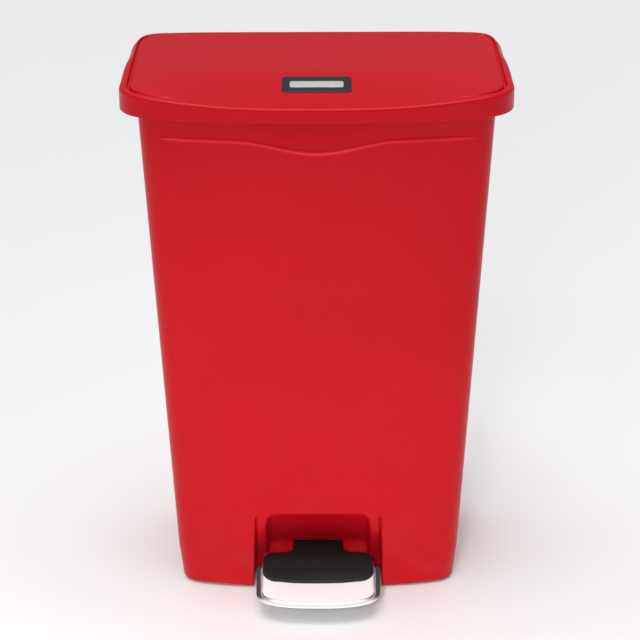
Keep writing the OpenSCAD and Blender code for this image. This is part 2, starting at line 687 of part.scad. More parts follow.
body_shell();
base_pan();
foot_front_left();
foot_front_right();
foot_rear_left();
foot_rear_right();
base_screws();
top_ring();
ring_screws();
rigid_liner();
channel_cover();
channel_screws();
rod_guide_low();
rod_guide_mid();
rod_guide_high();
axle_bracket_left();
axle_bracket_right();
bracket_screws();
pedal_axle();
axle_clip_left();
axle_clip_right();
hinge_bracket_left();
hinge_bracket_right();
hinge_screws();
hinge_pin_left();
hinge_pin_right();
damper_cylinder();
damper_clamps();
damper_cap();
lid_shell();
lid_panel();
lid_badge();
badge_inlay();
knuckle_left();
knuckle_right();
hinge_bush_left();
hinge_bush_right();
lid_crank();
crank_pin();
lid_screws();
buffer_front_left();
buffer_front_right();
buffer_rear_left();
buffer_rear_right();
pedal_lever();
pedal_plate();
pedal_tread();
pedal_rivets();
lever_bush_left();
lever_bush_right();
lever_pin();
push_rod();
rod_head();
rod_foot();
rod_rivets();
damper_piston();
damper_arm();
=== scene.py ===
import json
from math import atan, cos, pi, radians, sin, sqrt
import bmesh
import bpy
from mathutils import Matrix, Vector


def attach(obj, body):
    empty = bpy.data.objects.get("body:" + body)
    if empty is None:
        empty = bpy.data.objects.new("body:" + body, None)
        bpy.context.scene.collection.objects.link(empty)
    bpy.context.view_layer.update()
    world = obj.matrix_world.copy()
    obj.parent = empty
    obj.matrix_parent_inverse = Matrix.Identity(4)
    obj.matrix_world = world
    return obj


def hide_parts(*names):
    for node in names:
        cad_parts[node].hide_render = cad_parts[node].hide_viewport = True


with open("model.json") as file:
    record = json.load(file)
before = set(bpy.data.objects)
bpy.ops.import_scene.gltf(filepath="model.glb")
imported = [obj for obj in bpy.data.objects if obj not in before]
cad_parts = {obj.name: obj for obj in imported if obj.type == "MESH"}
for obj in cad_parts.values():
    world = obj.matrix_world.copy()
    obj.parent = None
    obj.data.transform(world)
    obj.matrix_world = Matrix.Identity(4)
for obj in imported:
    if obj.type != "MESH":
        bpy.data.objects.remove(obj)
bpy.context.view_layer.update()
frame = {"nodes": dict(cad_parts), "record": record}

mm = 0.001
nodes = frame["nodes"]


def smooth(t):
    t = min(max(t, 0.0), 1.0)
    return t * t * (3 - 2 * t)


def mix(a, b, t):
    return a + (b - a) * t


def linear(r, g, b):
    # screen values 0..255 as linear light
    part = lambda c: c / 12.92 if c <= 0.04045 else ((c + 0.055) / 1.055) ** 2.4
    return (part(r / 255), part(g / 255), part(b / 255), 1.0)


# metres, degrees and millimetres of lens; every other piece's settings below are in millimetres
cameraSet = {"place": (0.0, -3.08225, 1.757), "pitch": 23.4, "roll": -0.18, "lens": 122.2, "shiftX": 0.0041}


def makeCamera(s):
    data = bpy.data.cameras.new("mainCamera")
    data.lens = s["lens"]
    data.shift_x = s["shiftX"]
    data.clip_end = 30
    cam = bpy.data.objects.new("mainCamera", data)
    bpy.context.scene.collection.objects.link(cam)
    turn = Matrix.Rotation(radians(90 - s["pitch"]), 4, "X") @ Matrix.Rotation(radians(s["roll"]), 4, "Z")
    cam.matrix_world = Matrix.Translation(s["place"]) @ turn
    bpy.context.scene.camera = cam


makeCamera(cameraSet)
print("camera ready")


def startGroup(name, inputs, outputs):
    tree = bpy.data.node_groups.new(name, "ShaderNodeTree")
    for label, kind, value in inputs:
        socket = tree.interface.new_socket(name=label, in_out="INPUT", socket_type=kind)
        socket.default_value = value
    for label, kind in outputs:
        tree.interface.new_socket(name=label, in_out="OUTPUT", socket_type=kind)
    return tree, tree.nodes.new("NodeGroupInput"), tree.nodes.new("NodeGroupOutput")


def addNode(tree, kind, **values):
    node = tree.nodes.new(kind)
    for key, value in values.items():
        setattr(node, key, value)
    return node


def mathNode(tree, operation, a, b=None, clamp=False):
    node = addNode(tree, "ShaderNodeMath", operation=operation, use_clamp=clamp)
    for index, value in enumerate((a, b)):
        if value is None:
            continue
        if isinstance(value, (int, float)):
            node.inputs[index].default_value = value
        else:
            tree.links.new(value, node.inputs[index])
    return node.outputs[0]


def rangeNode(tree, value, low, high, toLow=0.0, toHigh=1.0):
    node = addNode(tree, "ShaderNodeMapRange", interpolation_type="SMOOTHSTEP")
    tree.links.new(value, node.inputs["Value"])
    node.inputs["From Min"].default_value = low
    node.inputs["From Max"].default_value = high
    node.inputs["To Min"].default_value = toLow
    node.inputs["To Max"].default_value = toHigh
    return node.outputs["Result"]


def noiseNode(tree, vector, scale, detail=3.0, rough=0.5):
    node = addNode(tree, "ShaderNodeTexNoise")
    node.inputs["Detail"].default_value = detail
    node.inputs["Roughness"].default_value = rough
    if isinstance(scale, (int, float)):
        node.inputs["Scale"].default_value = scale
    else:
        tree.links.new(scale, node.inputs["Scale"])
    tree.links.new(vector, node.inputs["Vector"])
    return node.outputs["Fac"]


def makeGrainGroup():
    # fine spark-eroded texture of a moulding: a height and a soft mask of its peaks
    tree, gin, gout = startGroup(
        "mouldGrain", [("Scale", "NodeSocketFloat", 900.0), ("Coarse", "NodeSocketFloat", 60.0)],
        [("Height", "NodeSocketFloat"), ("Peaks", "NodeSocketFloat")])
    coords = addNode(tree, "ShaderNodeTexCoord").outputs["Object"]
    fine = noiseNode(tree, coords, gin.outputs["Scale"], 2.0, 0.6)
    coarse = noiseNode(tree, coords, gin.outputs["Coarse"], 3.0, 0.55)
    height = mathNode(tree, "MULTIPLY_ADD", fine, 0.7)
    tree.links.new(mathNode(tree, "MULTIPLY", coarse, 0.3), height.node.inputs[2])
    tree.links.new(height, gout.inputs["Height"])
    tree.links.new(rangeNode(tree, fine, 0.45, 0.7), gout.inputs["Peaks"])
    return tree


def makeWearGroup():
    # where a moulding is rubbed: along its raised edges, broken up by noise
    tree, gin, gout = startGroup(
        "edgeWear", [("Amount", "NodeSocketFloat", 0.5), ("Breakup", "NodeSocketFloat", 45.0)],
        [("Mask", "NodeSocketFloat")])
    coords = addNode(tree, "ShaderNodeTexCoord").outputs["Object"]
    edge = rangeNode(tree, addNode(tree, "ShaderNodeNewGeometry").outputs["Pointiness"], 0.52, 0.62)
    broken = rangeNode(tree, noiseNode(tree, coords, gin.outputs["Breakup"], 5.0, 0.65), 0.35, 0.62)
    both = mathNode(tree, "MULTIPLY", edge, broken)
    tree.links.new(mathNode(tree, "MULTIPLY", both, gin.outputs["Amount"], True), gout.inputs["Mask"])
    return tree


def makeDustGroup():
    # a patchy film of dust that thickens towards the floor
    tree, gin, gout = startGroup(
        "floorDust", [("Amount", "NodeSocketFloat", 0.3), ("Height", "NodeSocketFloat", 0.18)],
        [("Mask", "NodeSocketFloat")])
    coords = addNode(tree, "ShaderNodeTexCoord").outputs["Object"]
    spot = addNode(tree, "ShaderNodeSeparateXYZ")
    tree.links.new(coords, spot.inputs[0])
    low = mathNode(tree, "DIVIDE", spot.outputs["Z"], gin.outputs["Height"])
    low = rangeNode(tree, low, 0.0, 1.0, 1.0, 0.0)
    specks = rangeNode(tree, noiseNode(tree, coords, 26.0, 6.0, 0.6), 0.4, 0.75)
    both = mathNode(tree, "MULTIPLY", low, specks)
    tree.links.new(mathNode(tree, "MULTIPLY", both, gin.outputs["Amount"], True), gout.inputs["Mask"])
    return tree


def makeBrushGroup():
    # long fine scratches along X, as a polishing belt leaves them
    tree, gin, gout = startGroup("beltScratches", [("Fineness", "NodeSocketFloat", 900.0)],
                                 [("Height", "NodeSocketFloat"), ("Streaks", "NodeSocketFloat")])
    coords = addNode(tree, "ShaderNodeTexCoord").outputs["Object"]
    stretch = addNode(tree, "ShaderNodeMapping")
    stretch.inputs["Scale"].default_value = (0.02, 1.0, 1.0)
    tree.links.new(coords, stretch.inputs["Vector"])
    lines = noiseNode(tree, stretch.outputs["Vector"], gin.outputs["Fineness"], 4.0, 0.7)
    cloud = noiseNode(tree, coords, 22.0, 3.0, 0.5)
    tree.links.new(lines, gout.inputs["Height"])
    tree.links.new(mathNode(tree, "MULTIPLY", lines, cloud), gout.inputs["Streaks"])
    return tree


groups = {"grain": makeGrainGroup(), "wear": makeWearGroup(), "dust": makeDustGroup(),
          "brush": makeBrushGroup()}


def startMaterial(name):
    mat = bpy.data.materials.new(name)
    mat.use_nodes = True
    tree = mat.node_tree
    return mat, tree, tree.nodes["Principled BSDF"]


def place(tree, group, **values):
    node = tree.nodes.new("ShaderNodeGroup")
    node.node_tree = groups[group]
    for key, value in values.items():
        node.inputs[key].default_value = value
    return node


def mixColour(tree, factor, a, b):
    node = addNode(tree, "ShaderNodeMix", data_type="RGBA")
    tree.links.new(factor, node.inputs[0])
    for index, value in ((6, a), (7, b)):
        if isinstance(value, tuple):
            node.inputs[index].default_value = value
        else:
            tree.links.new(value, node.inputs[index])
    return node.outputs[2]


def bumpFrom(tree, height, strength, distance):
    bump = addNode(tree, "ShaderNodeBump")
    bump.inputs["Strength"].default_value = strength
    bump.inputs["Distance"].default_value = distance
    tree.links.new(height, bump.inputs["Height"])
    return bump.outputs["Normal"]


dustColour = linear(178, 160, 150)


def plastic(name, colour, shade, rough=(0.3, 0.42), grain=900.0, bump=0.12, wear=0.25, dust=0.12,
            spec=0.5, coat=0.0, crest=None):
    mat, tree, shader = startMaterial(name)
    texture = place(tree, "grain", Scale=grain)
    coords = addNode(tree, "ShaderNodeTexCoord").outputs["Object"]
    flow = rangeNode(tree, noiseNode(tree, coords, 3.2, 2.0, 0.5), 0.3, 0.7)
    base = mixColour(tree, flow, shade, colour)
    rubbed = place(tree, "wear", Amount=wear).outputs["Mask"]
    worn = [min(1.0, c * 1.35 + 0.02) for c in colour[:3]]
    base = mixColour(tree, rubbed, base, (*worn, 1.0))
    if crest:  # a painted highlight, lighter red, along the top of the ledge where the piece has the attribute
        line = addNode(tree, "ShaderNodeAttribute")
        line.attribute_name = "crest"
        base = mixColour(tree, line.outputs["Fac"], base, crest)
    dusty = place(tree, "dust", Amount=dust).outputs["Mask"]
    base = mixColour(tree, dusty, base, dustColour)
    tree.links.new(base, shader.inputs["Base Color"])
    gloss = rangeNode(tree, texture.outputs["Peaks"], 0.0, 1.0, rough[0], rough[1])
    tree.links.new(gloss, shader.inputs["Roughness"])
    tree.links.new(bumpFrom(tree, texture.outputs["Height"], bump, 0.0004), shader.inputs["Normal"])
    shader.inputs["Specular IOR Level"].default_value = spec
    if coat:
        shader.inputs["Coat Weight"].default_value = coat
        shader.inputs["Coat Roughness"].default_value = 0.2
    return mat


def metal(name, colour, shade, rough, fineness, bump=0.05):
    mat, tree, shader = startMaterial(name)
    brushed = place(tree, "brush", Fineness=fineness)
    tree.links.new(mixColour(tree, brushed.outputs["Streaks"], colour, shade), shader.inputs["Base Color"])
    gloss = rangeNode(tree, brushed.outputs["Height"], 0.25, 0.75, rough[0], rough[1])
    tree.links.new(gloss, shader.inputs["Roughness"])
    tree.links.new(bumpFrom(tree, brushed.outputs["Height"], bump, 0.0002), shader.inputs["Normal"])
    shader.inputs["Metallic"].default_value = 1.0
    return mat


# the last colour is a painted highlight, a lighter red laid along the ledge
redSet = {"colour": (0.60, 0.0022, 0.0105, 1.0), "shade": (0.56, 0.0016, 0.0085, 1.0),
          "crest": (1.0, 0.045, 0.06, 1.0)}
redPlastic = plastic("redPlastic", redSet["colour"], redSet["shade"], rough=(0.3, 0.4), grain=1100.0,
                     bump=0.05, wear=0.15, dust=0.04, spec=0.18, crest=redSet["crest"])
blackPlastic = plastic("blackPlastic", linear(38, 38, 40), linear(30, 30, 32), rough=(0.38, 0.55),
                       bump=0.2, dust=0.25)
greyPlastic = plastic("greyPlastic", linear(112, 114, 117), linear(102, 104, 108), rough=(0.36, 0.5),
                      bump=0.15, dust=0.1)
whitePlastic = plastic("whitePlastic", linear(226, 224, 216), linear(214, 211, 202), rough=(0.28, 0.4),
                       bump=0.05, dust=0.1)
inlayPlastic = plastic("inlayPlastic", linear(205, 203, 200), linear(196, 194, 192), rough=(0.15, 0.22),
                       bump=0.03, wear=0.1, dust=0.0, coat=0.4)
footRubber = plastic("footRubber", linear(34, 34, 34), linear(26, 26, 26), rough=(0.6, 0.78), grain=600.0,
                     bump=0.3, wear=0.3, dust=0.4, spec=0.35)
# tinted cyan to cancel the red light bounced onto the pad from the body
treadRubber = plastic("treadRubber", linear(24, 38, 37), linear(20, 34, 33), rough=(0.5, 0.62), grain=700.0,
                      bump=0.2, wear=0.1, dust=0.02, spec=0.3)
# light and streak paint a bright reflection, flat paints a dark reflection; slopeZ, frontY and edgeZ mark
# where the bright one goes, edgeZ as a painted highlight along the outer edge
steelSet = {"slopeZ": (0.0322, 0.0334), "frontY": (-0.19, -0.168), "edgeZ": (0.0306, 0.0314),
            "light": (0.96, 0.99, 0.99, 1.0), "streak": (0.9, 0.93, 0.93, 1.0),
            "flat": (0.1, 0.12, 0.125, 1.0)}


def makePolishedSteel(s=steelSet):
    # painted reflections: a pale, nearly matt painted bright reflection on the slope, the front lip and the
    # outer edge, and a dark painted reflection on the flat rim
    mat, tree, shader = startMaterial("polishedSteel")
    brushed = place(tree, "brush", Fineness=700.0)
    coords = addNode(tree, "ShaderNodeTexCoord").outputs["Object"]
    spot = addNode(tree, "ShaderNodeSeparateXYZ")
    tree.links.new(coords, spot.inputs[0])
    slope = rangeNode(tree, spot.outputs["Z"], *s["slopeZ"])
    front = rangeNode(tree, spot.outputs["Y"], *s["frontY"], 1.0, 0.0)
    edge = rangeNode(tree, spot.outputs["Z"], *s["edgeZ"], 1.0, 0.0)
    paintedBrightMask = mathNode(tree, "MAXIMUM", mathNode(tree, "MAXIMUM", slope, front), edge)
    # less metallic where the painted bright reflection goes, so it reads pale under any lamp
    metallic = rangeNode(tree, paintedBrightMask, 0.0, 1.0, 0.45, 0.1)
    paintedBrightColour = mixColour(tree, brushed.outputs["Streaks"], s["light"], s["streak"])
    tree.links.new(mixColour(tree, paintedBrightMask, s["flat"], paintedBrightColour), shader.inputs["Base Color"])
    tree.links.new(metallic, shader.inputs["Metallic"])
    fine = rangeNode(tree, brushed.outputs["Height"], 0.25, 0.75, 0.0, 0.08)
    rough = mathNode(tree, "ADD", fine, rangeNode(tree, paintedBrightMask, 0.0, 1.0, 0.12, 0.3))
    tree.links.new(rough, shader.inputs["Roughness"])
    tree.links.new(bumpFrom(tree, brushed.outputs["Height"], 0.03, 0.0002), shader.inputs["Normal"])
    return mat


polishedSteel = makePolishedSteel()
zincSteel = metal("zincSteel", linear(186, 189, 192), linear(150, 154, 160), rough=(0.3, 0.48),
                  fineness=300.0, bump=0.1)
brightSteel = metal("brightSteel", linear(214, 214, 212), linear(186, 186, 186), rough=(0.14, 0.26),
                    fineness=1400.0)
slotMaterial = {"red_plastic": redPlastic, "black_plastic": blackPlastic, "grey_plastic": greyPlastic,
                "white_plastic": whitePlastic, "inlay": inlayPlastic, "rubber": footRubber,
                "tread_rubber": treadRubber, "polished_steel": polishedSteel, "zinc_steel": zincSteel,
                "bright_steel": brightSteel}
slotOf = {row["node"]: row["material_slot"] for row in frame["record"]["subparts"]}
bodies = frame["record"]["behaviour"]["bodies"]
bodyOf = {node: body for body, members in bodies.items() for node in members}
print("materials ready")


def outline(half, front, back, bow, rf, rb, frontX, rearX, corner=10, sides=3):
    # closed plan with a bowed front, counter-clockwise from the left end of the front
    # frontX and rearX give the x of each column, from half the length of that run
    tilt = atan(3 * bow / (half - rf))
    xb = half - rf * (1 - sin(tilt))
    cy = front + bow + rf * cos(tilt)
    points = []
    across = frontX(xb)
    for x in across:
        points.append((x, front + bow * abs(x / xb) ** 3))
    for i in range(1, corner + 1):
        a = tilt - pi / 2 + (pi / 2 - tilt) * i / corner
        points.append((half - rf + rf * cos(a), cy + rf * sin(a)))
    for i in range(1, sides):
        points.append((half, mix(cy, back - rb, i / sides)))
    for i in range(corner + 1):
        a = pi / 2 * i / corner
        points.append((half - rb + rb * cos(a), back - rb + rb * sin(a)))
    for x in reversed(rearX(half - rb)):
        points.append((x, back))
    left = [(-x, y) for x, y in points[len(across):len(across) + corner + sides + corner]]
    points += reversed(left)
    return points


def evenX(count):
    return lambda xb: [xb * (2 * i / count - 1) for i in range(count + 1)]


def innerX(count):
    return lambda xb: [xb * (2 * i / count - 1) for i in range(1, count)]


def ringEdges(ring):
    held = set(ring)
    return list({e for v in ring for e in v.link_edges if e.other_vert(v) in held})


def loft(bm, rings, capFirst=False, capLast=False):
    # the first ring is a circle pulled into shape, and each later one is extruded from the last
    ring = bmesh.ops.create_circle(bm, segments=len(rings[0]), radius=1)["verts"]
    for vert, point in zip(ring, rings[0]):
        vert.co = point
    if capFirst:
        bmesh.ops.contextual_create(bm, geom=ringEdges(ring))
    for points in rings[1:]:
        made = bmesh.ops.extrude_edge_only(bm, edges=ringEdges(ring))["geom"]
        fresh = {g for g in made if isinstance(g, bmesh.types.BMVert)}
        ring = [next(e.other_vert(v) for e in v.link_edges if e.other_vert(v) in fresh) for v in ring]
        for vert, point in zip(ring, points):
            vert.co = point
    if capLast:
        bmesh.ops.contextual_create(bm, geom=ringEdges(ring))


def outward(bm, axis=1, low=True):
    # normals all one way, then outwards, judged by the face that stands furthest out
    bmesh.ops.recalc_face_normals(bm, faces=bm.faces)
    pick = min if low else max
    face = pick(bm.faces, key=lambda f: f.calc_center_median()[axis])
    if (face.normal[axis] > 0) == low:
        bmesh.ops.reverse_faces(bm, faces=bm.faces)


def finishPiece(bm, name, replaced, levels=0, wall=0.0, sharp=40, body=None, slotName=None):
    mesh = bpy.data.meshes.new(name)
    bm.to_mesh(mesh)
    bm.free()
    mesh.polygons.foreach_set("use_smooth", [True] * len(mesh.polygons))
    if sharp:
        mesh.set_sharp_from_angle(angle=radians(sharp))
    obj = bpy.data.objects.new(name, mesh)
    bpy.context.scene.collection.objects.link(obj)
    first = replaced[0] if replaced else None
    slotName = slotName or slotOf[first]
    mesh.materials.append(slotMaterial[slotName])
    if wall:
        thick = obj.modifiers.new("wall", "SOLIDIFY")
        thick.thickness = wall
        thick.offset = -1
        thick.use_even_offset = False
    if levels:
        soft = obj.modifiers.new("soft", "SUBSURF")
        soft.levels = levels
        soft.render_levels = levels
    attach(obj, body or bodyOf[first])
    if replaced:
        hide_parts(*replaced)


def vec(x, y, z):
    return Vector((x * mm, y * mm, z * mm))


bodySet = {"rim": 792.0, "knee": 60.0, "footHalf": 214.3, "kneeHalf": 221.0, "rimHalf": 259.0,
           "frontFoot": -92.4, "frontRim": -134.4, "backFoot": 187.0, "backRim": 190.0,
           "bowFoot": 17.0, "bowRim": 22.0, "frontCorner": 32.0, "rearCorner": 30.0,
           "toe": 5.0, "footZ": 2.0, "wall": 3.4, "rearRim": 779.0, "rearFrom": 160.0,
           "ledge": 757.5, "dip": 18.5, "dipHalf": 120.0, "step": 4.7, "stepMiddle": 3.6, "stepRun": 5.6,
           "ledgeEnd": 196.0, "ledgeFade": 40.0, "scoopHalf": 100.0, "scoopDeep": 7.0, "scoopHigh": 46.0,
           "crestHalf": 2.4, "crestEnd": 205.0, "crestFade": 32.0,
           "nicheTop": 130.0, "stripFoot": -34.0, "slitHigh": 96.2, "slitLow": 100.5, "slitWide": 1.9,
           "slitDeep": 4.5, "cavityTop": 137.0, "cavityHalf": 80.0, "cavityBack": -25.0, "cavityKnee": 50.0,
           "cavityCorner": 14.0, "slotHalf": 39.6, "slotLow": 26.0, "slotHigh": 50.2}


def bodyHalf(z, s=bodySet):
    if z < s["knee"]:
        return mix(s["footHalf"], s["kneeHalf"], z / s["knee"])
    return mix(s["kneeHalf"], s["rimHalf"], (z - s["knee"]) / (s["rim"] - s["knee"]))


def bodyFront(z, s=bodySet):
    return mix(s["frontFoot"], s["frontRim"], z / s["rim"])


def slitAt(z, s=bodySet):
    return mix(s["slitLow"], s["slitHigh"], min(z / s["nicheTop"], 1.0))


def ledgeAt(x, s=bodySet):
    return s["ledge"] - s["dip"] * (1 - smooth(abs(x) / s["dipHalf"]))


def softMax(a, b, k):
    h = max(k - abs(a - b), 0.0) / k
    return max(a, b) + h * h * k * 0.25


def nicheY(x, z, y, s=bodySet):
    # how far back the front wall stands inside the pedal niche
    if z > s["cavityTop"] + 8 or abs(x) > slitAt(z) + 4:
        return y
    edge = slitAt(z)
    inside = 1 - smooth((abs(x) - edge + 1.2) / 2.4)
    strip = y
    if z < s["nicheTop"]:
        strip = mix(s["stripFoot"], bodyFront(s["nicheTop"]), smooth(z / s["nicheTop"]))
    out = mix(y, max(strip, y), inside)
    groove = max(0.0, 1 - abs(abs(x) - edge) / (s["slitWide"] * 1.3))
    out += s["slitDeep"] * smooth(groove * 1.6) * smooth((s["nicheTop"] + 1.5 - z) / 3)
    corner = s["cavityCorner"]
    over = max(0.0, abs(x) - (s["cavityHalf"] - corner))
    fall = corner - sqrt(max(corner * corner - over * over, 0.0))
    slope = (s["cavityBack"] - bodyFront(s["cavityTop"])) / (s["cavityTop"] - s["cavityKnee"])
    roof = bodyFront(s["cavityTop"]) + (s["cavityTop"] - z - fall) * slope
    roof = -softMax(-roof, -s["cavityBack"], 6.0)
    deep = 1 - smooth((abs(x) - s["cavityHalf"] + 2.2) / 4.4)
    return mix(out, softMax(out, roof, 2.5), deep)


def ledgeY(x, z, s=bodySet):
    # how far the band above the ledge is set back, with a finger scoop in the middle
    rise = z - ledgeAt(x)
    centre = 1 - smooth(abs(x) / s["scoopHalf"])
    profile = smooth((rise + 3.0) / s["stepRun"])
    fade = 1 - smooth((abs(x) - s["ledgeEnd"]) / s["ledgeFade"])
    bowl = (z - s["ledge"] + s["dip"]) / s["scoopHigh"] - (x / s["scoopHalf"]) ** 2
    scoop = s["scoopDeep"] * softMax(bowl, 0.0, 0.35)
    return profile * (fade * mix(s["step"], s["stepMiddle"], centre) + scoop)


# columns stand close together where the niche and its slits bend the wall
nicheColumns = [0, 9, 18, 27, 34, 38, 39.6, 41.2, 46, 54, 61, 66, 69, 72, 74.6, 76.8, 78.4, 79.8, 81.2,
                82.8, 85, 88.5]
slitColumns = [-4.6, -3.2, -2.4, -1.6, -0.8, 0, 0.8, 1.6, 2.4, 3.2, 4.8]
plainFrom = 112
rearColumns = [0, 40, 80, 120, 150, 175, 200]


def bothSides(right):
    return [-x for x in reversed(right[1:])] + right


def bodyFrontX(z):
    inner = nicheColumns + [slitAt(z) + d for d in slitColumns] + [plainFrom]
    return lambda xb: bothSides(inner + [mix(plainFrom, xb, i / 6) for i in range(1, 7)])


def bodyRearX(half):
    return bothSides([x * half / 215 for x in rearColumns])


def bodyRing(z, inset=0.0, follow=0.0, s=bodySet):
    t = z / s["rim"]
    back = mix(s["backFoot"], s["backRim"], t)
    flat = outline(bodyHalf(z) - inset, bodyFront(z) + inset, back - inset, mix(s["bowFoot"], s["bowRim"], t),
                   s["frontCorner"], s["rearCorner"], bodyFrontX(z), bodyRearX)
    ring = []
    for x, y in flat:
        level = z
        if y < -40:
            level = z + follow * (ledgeAt(x) - s["ledge"])
            y += ledgeY(x, level) + (bodyFront(level) - bodyFront(z))
            y = nicheY(x, level, y)
        if z > s["ledge"]:
            top = mix(s["rim"], s["rearRim"], smooth((y - s["rearFrom"]) / 8))
            level = min(level, mix(s["ledge"], top, (z - s["ledge"]) / (s["rim"] - s["ledge"])))
        ring.append(vec(x, y, level))
    return ring


# heights of the plain rows, closer together at the slot and under the niche's roof
lowRows = [11, 15, 20, 24.8, 26, 27.6, 33, 40, 46, 48.8, 50.2, 51.6, 55, 60, 64, 70, 77, 84, 91, 98, 105, 112,
           118, 123, 126.5, 129, 130.5, 132, 133.5, 134.8, 136, 137, 138, 139.2, 141, 144, 149, 158, 175, 205,
           250, 310, 370, 430, 490, 550, 600]
ledgeRows = [-6, -4, -3, -2.3, -1.6, -0.9, -0.2, 0.5, 1.2, 1.9, 2.6, 3.6]


def bodyRows(s=bodySet):
    # each row has its height, its inset and how far it follows the dip of the ledge
    rows = []
    for i in range(6):  # the rolled foot edge
        a = radians(90 * i / 5)
        rows.append((s["footZ"] + s["toe"] * (1 - cos(a)), s["toe"] * (1 - sin(a)), 0.0))
    rows += [(z, 0.0, 0.0) for z in lowRows]
    rows += [(z, 0.0, smooth((z - 600) / 140)) for z in (640, 675, 702, 722, 736, 746)]
    rows += [(s["ledge"] + d, 0.0, 1.0) for d in ledgeRows]
    rows += [(z, 0.0, 1 - smooth((z - 761) / 26)) for z in (764, 768, 773, 779, 785)]
    rows += [(788.5, 0.0, 0.0), (790.6, 0.2, 0.0), (791.6, 0.7, 0.0), (792.0, 1.5, 0.0)]
    return rows


def crestHighlightAt(x, y, z, s=bodySet):
    # how close a point is to the top of the ledge, where the painted highlight goes, fading out before the
    # corners
    rise = z - ledgeAt(x)
    near = max(0.0, 1 - abs(rise + 1.0) / s["crestHalf"]) if y < -60 else 0.0
    return smooth(near * 1.6) * (1 - smooth((abs(x) - s["crestEnd"]) / s["crestFade"]))


def makeBody(s=bodySet):
    bm = bmesh.new()
    # the attribute marks where the painted highlight lies on the ledge
    crest = bm.verts.layers.float.new("crest")
    loft(bm, [bodyRing(*row) for row in bodyRows()])
    for vert in bm.verts:
        vert[crest] = crestHighlightAt(*(vert.co / mm))
    outward(bm)
    low, high, half = s["slotLow"] * mm, s["slotHigh"] * mm, s["slotHalf"] * mm
    middles = [(f, f.calc_center_median()) for f in bm.faces]
    hole = [f for f, c in middles if c.y < 0 and abs(c.x) < half and low < c.z < high]
    bmesh.ops.delete(bm, geom=hole, context="FACES")
    finishPiece(bm, "bodyShell", ["body_shell"], wall=s["wall"] * mm, levels=1, sharp=0)


makeBody()


floorSet = {"low": 60.2, "high": 63.8, "gap": 5.0, "back": 182.0, "nicheHalf": 106.0, "nicheBack": -19.0,
            "rodHalf": 60.0, "rodFront": 157.0}


def floorRing(z, s=floorSet):
    # round the niche in front, and open behind for the push rod
    flat = outline(bodyHalf(z) - s["gap"], bodyFront(z) + s["gap"], s["back"], 16, 28, 26,
                   evenX(60), innerX(20))
    ring = []
    for x, y in flat:
        if abs(x) < s["nicheHalf"] and y < 0:
            y = max(y, s["nicheBack"])
        if abs(x) < s["rodHalf"]:
            y = min(y, s["rodFront"])
        ring.append(vec(x, y, z))
    return ring


def makeFloor(s=floorSet):
    # the inner floor over the pedal works
    bm = bmesh.new()
    loft(bm, [floorRing(s["low"]), floorRing(s["high"])], True, True)
    bmesh.ops.recalc_face_normals(bm, faces=bm.faces)
    finishPiece(bm, "bodyFloor", [], body="bin", slotName="red_plastic", sharp=30)


makeFloor()
print("body made")

lidSet = {"half": 286.0, "front": -148.75, "back": 204.25, "bow": 25.0,
          "frontCorner": 60.0, "rearCorner": 48.0,
          "top": 826.0, "skirt": 790.0, "lip": 811.0, "slopeFrom": -8.0, "wall": 3.2,
          "frontRound": 4.0, "sideRound": 7.0, "rearRoll": 14.0,
          "grooveAt": 13.6, "grooveHalf": 3.3, "grooveDeep": 5.5,
          "cutHigh": 806.0, "crankCut": 22.0, "hingeCut": (146.0, 194.0)}
# columns of the lid's rear, which stand at the edges of the cuts for the crank and the hinges
lidRearX = [0, 11, 22, 26, 60, 95, 130, 142, 146, 158, 182, 194, 198, 216]
lidInsets = [0.12, 0.5, 1.1, 1.9, 2.9, 4.0, 5.5, 7.0, 8.8, 10.0, 10.8, 11.4, 12.0, 12.7, 13.6, 14.5, 15.2,
             15.8, 16.4, 17.2, 19.0, 22.0, 26.0, 31.0]


def lidRear(half):
    return bothSides([x * half / 239 if x > 198 else x for x in lidRearX])


def lidFlat(inset, s=lidSet):
    corners = [max(s[name] - inset, 6) for name in ("frontCorner", "rearCorner")]
    return outline(s["half"] - inset, s["front"] + inset, s["back"] - inset, s["bow"], *corners,
                   evenX(48), lidRear, 14, 14)


def lidTop(x, y, s=lidSet):
    # height of the lid's top, which falls to the front and most in the middle
    t = max(0.0, (s["slopeFrom"] - y) / (s["slopeFrom"] - s["front"]))
    spread = 1 - 0.72 * min(abs(x) / 247, 1.0) ** 2.7
    fall = (s["top"] - s["lip"]) * spread * t ** 1.35
    return s["top"] - fall - 1.4 * smooth((abs(x) - 160) / 110)


def lidRound(x, y, s=lidSet):
    # radius of the top edge: crisp in front, fuller at the sides, rolled off before the rear corners
    side = smooth((y + 110) / 90)
    roll = smooth((y - 15) / 115) * (1 - smooth((y - 165) / 34)) * smooth((abs(x) - 200) / 40)
    return mix(s["frontRound"], s["sideRound"], side) + s["rearRoll"] * roll


def lidRing(inset, s=lidSet, level=None):
    ring = []
    outer = lidFlat(0)
    for (x, y), (ox, oy) in zip(lidFlat(inset), outer):
        r = lidRound(ox, oy)
        if level is not None:
            ring.append(vec(x, y, mix(s["skirt"], lidTop(ox, oy) - r, level)))
            continue
        drop = r - sqrt(r * r - (r - inset) ** 2) if inset < r else 0.0
        groove = max(0.0, 1 - abs(inset - s["grooveAt"]) / s["grooveHalf"])
        fade = smooth((y + 124) / 24) * (1 - smooth((y - 176) / 14))
        ring.append(vec(x, y, lidTop(x, y) - drop - s["grooveDeep"] * smooth(groove * 1.5) * fade))
    return ring


def gridCap(bm, cap, xs, ys):
    # a flat end face cut into a grid, so that it can be shaped
    cap = [cap]
    for axis, cuts in ((0, xs), (1, ys)):
        for cut in cuts:
            normal = Vector((1, 0, 0)) if axis == 0 else Vector((0, 1, 0))
            faces = [f for f in cap if f.is_valid]
            whole = list({g for f in faces for g in (f, *f.edges, *f.verts)})
            made = bmesh.ops.bisect_plane(bm, geom=whole, plane_co=normal * cut * mm, plane_no=normal,
                                          dist=1e-6)
            cap = [g for g in made["geom"] if isinstance(g, bmesh.types.BMFace)]
    return {v for f in cap for v in f.verts}


